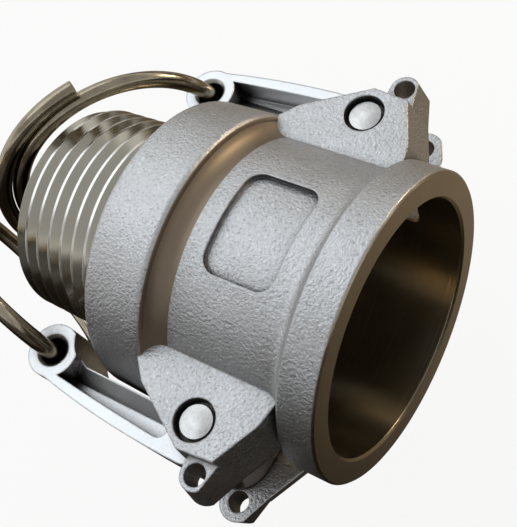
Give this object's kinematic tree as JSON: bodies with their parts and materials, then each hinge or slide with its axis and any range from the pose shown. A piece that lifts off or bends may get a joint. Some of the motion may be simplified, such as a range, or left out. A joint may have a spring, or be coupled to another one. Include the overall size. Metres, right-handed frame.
{
  "type": "cam and groove coupler",
  "caption": "Stainless cam and groove hose coupler: socket with hinged cam arms and pull rings, face gasket and a male taper pipe thread.",
  "frame": {"origin": "On the coupler's axis, inside the socket, level with the two cam pins.", "axes": "+X runs along the axis out of the socket's mouth, +Y to the upper cam arm, +Z along the cam pins."},
  "size_m": [0.0794, 0.0644, 0.0452],
  "materials": {
    "cast_steel": "bead-blasted investment-cast stainless steel, turned bright at the lip",
    "turned_steel": "smooth turned stainless steel",
    "wire_steel": "bright drawn stainless wire",
    "gasket_rubber": "smooth black nitrile rubber"
  },
  "bodies": {
    "coupler": {"coupler_body": "cast_steel", "socket_gasket": "gasket_rubber", "handle_pin_upper": "turned_steel", "handle_pin_lower": "turned_steel"},
    "arm_upper": {"cam_arm_upper": "cast_steel"},
    "arm_lower": {"cam_arm_lower": "cast_steel"},
    "ring_upper": {"pull_ring_upper": "wire_steel"},
    "ring_lower": {"pull_ring_lower": "wire_steel"}
  },
  "joints": [
    {"name": "arm_upper_hinge", "type": "hinge", "parent": "coupler", "child": "arm_upper", "pos_m": [0, 0.0236, 0], "axis": [0, 0, -1], "range_deg": [0, 110]},
    {"name": "arm_lower_hinge", "type": "hinge", "parent": "coupler", "child": "arm_lower", "pos_m": [0, -0.0236, 0], "axis": [0, 0, 1], "range_deg": [0, 110]},
    {"name": "ring_upper_hinge", "type": "hinge", "parent": "arm_upper", "child": "ring_upper", "pos_m": [-0.0291, 0.0231, 0], "axis": [0, 0, 1], "range_deg": [-195, 1]},
    {"name": "ring_lower_hinge", "type": "hinge", "parent": "arm_lower", "child": "ring_lower", "pos_m": [-0.0291, -0.0231, 0], "axis": [0, 0, -1], "range_deg": [-164, 14]}
  ]
}
